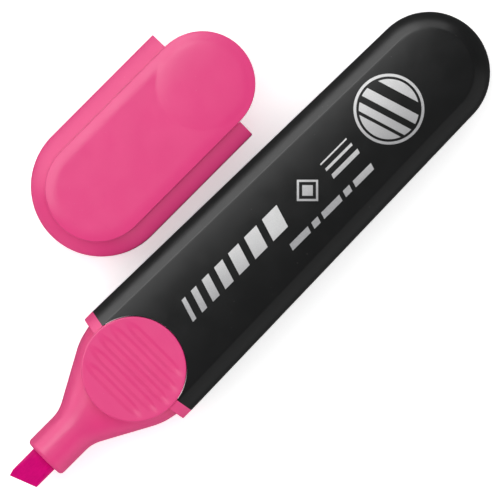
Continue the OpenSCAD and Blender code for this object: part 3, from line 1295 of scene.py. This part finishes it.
    def build(self, ink: Callable[[str, Vector, float], bpy.types.Material]) -> list[bpy.types.Object]:
        """Builds all the print.

        Args:
            ink: Makes the silver ink for a print, from its name, the middle of its painted highlight and that
                highlight's reach.

        Returns:
            The prints.
        """
        # Each print's middle and reach place the painted highlight in its silver ink.
        prints = (
            ("strokes", self.strokes(), (54.0, 0.3), 4.5),
            ("small_line", self.small_line(), (74.0, -1.0), 4.0),
            ("emblem", self.emblem(), (78.0, 0.3), 4.0),
            ("badge", self.badge(), (94.95, 0.3), 6.5),
        )
        made = []
        for name, bm, (x, y), reach in prints:
            middle = self.place.pen() @ Vector((x * MM, y * MM, 0))
            made.append(self.lay(f"print_{name}", bm, ink(f"silver_{name}", middle, reach * MM)))
        return made


# ---------------------------------------------------------------- the cap

@dataclass
class Cap:
    """The pink cap, its inner sleeve and its clip."""

    place: Place
    wall: float = 1.05 * MM
    pad_r: float = 9.5 * MM
    pad_reach: float = 0.55 * MM
    socket_wall: float = 1.0 * MM
    socket_l: float = 7.0 * MM
    sleeve_bore: float = 4.22 * MM
    sleeve_floor: float = 1.0 * MM
    socket_lap: float = 1.2 * MM
    plate_rest: float = 0.06 * MM
    plate_edge: float = 1.0 * MM
    plate_rise: float = 0.50 * MM
    plate_bevel: float = 2.4 * MM
    plate_crown: float = 0.15 * MM
    plate_gap: float = 0.75 * MM
    dome_r: float = 8.4 * MM
    form: FlatForm = field(init=False)

    def __post_init__(self) -> None:
        """Works out the form, which is built with its round end towards +X and turned later."""
        p = self.place
        self.form = FlatForm(
            mouth_x=0.0, mouth_half=p.cap_half, round_x=p.cap_l - p.cap_half, round_r=p.cap_half, half_t=p.half_t,
        )

    def shell(self, material: bpy.types.Material) -> bpy.types.Object:
        """Builds the cap's shell with its notches and the socket of the sleeve.

        Args:
            material: Its finish.

        Returns:
            The piece.
        """
        move = self.place.cap()
        bm = self.form.shell(self.wall, 0.16 * MM)
        half_turn(bm, self.place.cap_l / 2)
        obj = make_object("cap_body", bm, move)
        notch_x = self.place.cap_l + self.pad_reach
        notch = cylinder(self.pad_r, -2 * self.form.half_t, 2 * self.form.half_t, (notch_x, 0))
        carve(obj, notch, move)
        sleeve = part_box("cap_inner_sleeve")
        start = sleeve[0][0] - self.place.cap_x
        outer = (sleeve[1][2] - sleeve[0][2]) / 2
        ring = lathe([
            (start - self.socket_lap, outer), (self.socket_l, outer), (self.socket_l, outer + self.socket_wall),
            (start - self.socket_lap, outer + self.socket_wall),
        ])
        bmesh.ops.transform(ring, matrix=move, verts=ring.verts[:])
        whole = bmesh.new()
        whole.from_mesh(obj.data)
        add_mesh(whole, ring)
        whole.to_mesh(obj.data)
        whole.free()
        return finish_piece(obj, "cap", material, ["cap_shell"], crease=38)

    def sleeve(self, material: bpy.types.Material) -> bpy.types.Object:
        """Builds the inner sleeve with rounded lips.

        Args:
            material: Its finish.

        Returns:
            The piece.
        """
        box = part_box("cap_inner_sleeve")
        start, end = box[0][0] - self.place.cap_x, box[1][0] - self.place.cap_x
        outer = (box[1][2] - box[0][2]) / 2
        bore, lip = self.sleeve_bore, 0.4 * MM
        bm = lathe([
            (start, TOUCH), (start, outer), (end - lip, outer),
            (end - 0.1 * MM, outer - 0.12 * MM), (end, outer - lip),
            (end, bore + lip), (end - 0.12 * MM, bore + 0.1 * MM),
            (end - lip, bore), (start + self.sleeve_floor, bore), (start + self.sleeve_floor, TOUCH),
        ])
        obj = make_object("cap_seal_tube", bm, self.place.cap())
        return finish_piece(obj, "cap", material, ["cap_inner_sleeve"], crease=40)

    def clip(self, material: bpy.types.Material) -> bpy.types.Object:
        """Builds the clip plate with its soft bevel and the thumb dome.

        Args:
            material: Its finish.

        Returns:
            The piece.
        """
        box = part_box("clip")
        start, end = box[0][0] - self.place.cap_x, box[1][0] - self.place.cap_x
        r = (box[1][1] - box[0][1]) / 2
        top = box[1][2] - self.place.mid_z
        low = self.form.half_t + self.plate_rest
        edge, soft = self.plate_edge, 0.16 * MM
        dome_x = end - r
        dome_h = top - low - edge - self.plate_rise

        def height(x: float, y: float, inside: float) -> float:
            share = min(inside / self.plate_bevel, 1.0)
            rise = self.plate_rise * (1 - (1 - share) ** 1.8)
            corner = soft * (1 - math.sqrt(1 - (1 - min(inside / soft, 1.0)) ** 2))
            out = math.hypot(x - dome_x, y) / self.dome_r
            swell = dome_h * (1 - out ** 3) if out < 1 else 0.0
            fall = self.plate_crown * (y / r) ** 2
            return low + edge + rise - corner + swell - fall

        rings = [soft * 0.3, soft * 0.7, soft] + even_rings(soft * 2, r, 34)
        bm = ringed_plate(start, end, r, low - 0.02 * MM, rings, height, around=144, cuts=70)
        tilt = math.atan2(self.plate_gap - self.plate_rest, end - start)
        cut_away(bm, (start, 0, low), (math.sin(tilt), 0, -math.cos(tilt)), close=True)
        bmesh.ops.recalc_face_normals(bm, faces=bm.faces[:])
        obj = make_object("clip_plate", bm, self.place.cap())
        return finish_piece(obj, "clip_plate", material, ["clip"], crease=30, weighted=False)


# ---------------------------------------------------------------- the studio

@dataclass
class Studio:
    """Pale floor, soft light and a camera straight above."""

    place: Place
    span: float = 90.0 * MM
    distance: float = 1500.0 * MM
    turn: float = math.radians(-45.09)
    centre_x: float = 59.28 * MM
    centre_y: float = 0.31 * MM
    sensor: float = 36.0
    air_light: float = 0.11
    floor_glow: float = 0.42
    air_seen: float = 0.9

    def floor(self) -> None:
        """Lays the floor."""
        bm = bmesh.new()
        bmesh.ops.create_grid(bm, x_segments=1, y_segments=1, size=3.0)
        obj = make_object("floor", bm, Matrix.Translation((0, 0, -0.05 * MM)))
        material, g, bsdf = new_material("pale_floor")
        place = g.add("TexCoord").outputs["Object"]
        noise = g.add("TexNoise", None, Vector=place, Scale=30.0)
        tint = g.mix(noise.outputs["Fac"], rgba((0.96, 0.96, 0.96)), rgba((0.97, 0.97, 0.97)))
        g.put(bsdf.inputs["Base Color"], tint)
        bsdf.inputs["Roughness"].default_value = 0.8
        bsdf.inputs["Specular IOR Level"].default_value = 0.1
        bsdf.inputs["Emission Color"].default_value = (1, 1, 1, 1)
        bsdf.inputs["Emission Strength"].default_value = self.floor_glow
        obj.data.materials.append(material)
        obj.visible_glossy = False

    def camera(self) -> None:
        """Sets the camera straight above, with the pen running up to the right."""
        data = bpy.data.cameras.new("camera")
        data.sensor_width = self.sensor
        data.lens = self.sensor * self.distance / self.span
        data.clip_start, data.clip_end = 0.01, 20.0
        obj = bpy.data.objects.new("camera", data)
        obj.location = (
            self.place.tip_x + self.centre_x, self.place.pen_y + self.centre_y, self.place.mid_z + self.distance,
        )
        obj.rotation_euler = (0, 0, self.turn)
        bpy.context.scene.collection.objects.link(obj)
        bpy.context.scene.camera = obj

    def lamp(
        self, name: str, spot: Sequence[float], size: tuple[float, float], watts: float,
        diffuse: bool = True, gloss: bool = True,
    ) -> None:
        """Hangs a soft box that faces the object.

        Args:
            name: Name of the lamp.
            spot: Its place.
            size: Its length and height.
            watts: Its power.
            diffuse: Whether it lights surfaces.
            gloss: Whether it is mirrored in them.
        """
        data = bpy.data.lights.new(name, "AREA")
        data.shape = "RECTANGLE"
        data.size, data.size_y = size
        data.energy = watts
        obj = bpy.data.objects.new(name, data)
        obj.location = spot
        aim = Vector((0, 0, 0)) - Vector(spot)
        obj.rotation_euler = aim.to_track_quat("-Z", "Y").to_euler()
        obj.visible_diffuse = diffuse
        obj.visible_glossy = gloss
        bpy.context.scene.collection.objects.link(obj)

    def light(self) -> None:
        """Sets the soft light: a key from the cap's side and weak light all round."""
        world = bpy.data.worlds.new("studio")
        world.use_nodes = True
        nodes, links = world.node_tree.nodes, world.node_tree.links
        nodes["Background"].inputs["Color"].default_value = (1, 1, 1, 1)
        seen = nodes.new("ShaderNodeLightPath")
        strength = nodes.new("ShaderNodeMapRange")
        strength.inputs["To Min"].default_value = self.air_light
        strength.inputs["To Max"].default_value = self.air_seen
        links.new(seen.outputs["Is Camera Ray"], strength.inputs["Value"])
        links.new(strength.outputs["Result"], nodes["Background"].inputs["Strength"])
        bpy.context.scene.world = world
        self.lamp("key", (-0.06, 0.40, 0.62), (0.85, 0.40), 2.6)
        self.lamp("key_sheen", (-0.06, 0.42, 0.62), (0.85, 0.42), 1.3, diffuse=False)
        self.lamp("low_sheen", (-0.10, 0.85, 0.32), (1.5, 0.6), 7.0, diffuse=False)
        self.lamp("rear_sheen", (0.75, 0.60, 0.32), (0.7, 0.6), 1.6, diffuse=False)
        self.lamp("dark_sheen", (0.10, -0.90, 0.12), (1.6, 0.95), 1.3, diffuse=False)
        self.lamp("top_fill", (0.0, 0.1, 1.0), (1.2, 1.2), 6.0, gloss=False)
        self.lamp("side_fill", (0.10, -0.85, 0.40), (1.0, 0.5), 3.2, gloss=False)
        self.lamp("rear_fill", (0.85, 0.10, 0.40), (0.8, 0.5), 2.2, gloss=False)
        self.lamp("front_fill", (-0.85, -0.10, 0.40), (0.8, 0.5), 2.2, gloss=False)
        scene = bpy.context.scene
        scene.view_settings.view_transform = "Standard"
        scene.view_settings.look = "None"

    def build(self) -> None:
        """Builds the floor, the camera and the light."""
        self.camera()
        self.floor()
        self.light()


def dress_hidden(effects: Effects) -> None:
    """Gives the CAD nodes inside the barrel their own finishes.

    Args:
        effects: The shared shader groups.
    """
    fibre = InkedFibre("inked_fibre", (0.75, 0.03, 0.24), (0.5, 0.01, 0.13), roughness=0.8, scale=3800.0)
    fibre = fibre.build(effects)
    film = ClearFilm("clear_film").build(effects)
    for node, material in (("reservoir_core", fibre), ("reservoir_wrap", film)):
        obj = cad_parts[node]
        obj.data.materials.clear()
        obj.data.materials.append(material)


def main() -> None:
    """Builds the object's looks around the frame."""
    logging.basicConfig(level=logging.INFO, format="%(name)s %(message)s")
    place = Place.from_frame()
    effects = Effects()
    pink = Palette.PINK.value.build(effects)
    black = Palette.BLACK.value.build(effects)
    milky = Palette.MILKY.value.build(effects)
    felt = InkedFibre("nib_fibre", (0.60, 0.001, 0.165), (0.50, 0.0005, 0.135), specular=0.05).build(effects)

    Studio(place).build()
    barrel = Barrel(place)
    section = FrontSection(place, barrel.form)
    barrel.build(black, section.pad_x, section.pad_r)
    section.build(pink)
    Nib(place).build(felt)
    Print(place, barrel.form).build(
        lambda name, centre, reach: SilverInk(name, reach=reach).build(effects, centre),
    )
    cap = Cap(place)
    for piece in (cap.shell(pink), cap.sleeve(milky), cap.clip(pink)):
        piece.visible_glossy = False
    dress_hidden(effects)


if __name__ == "__main__":
    main()
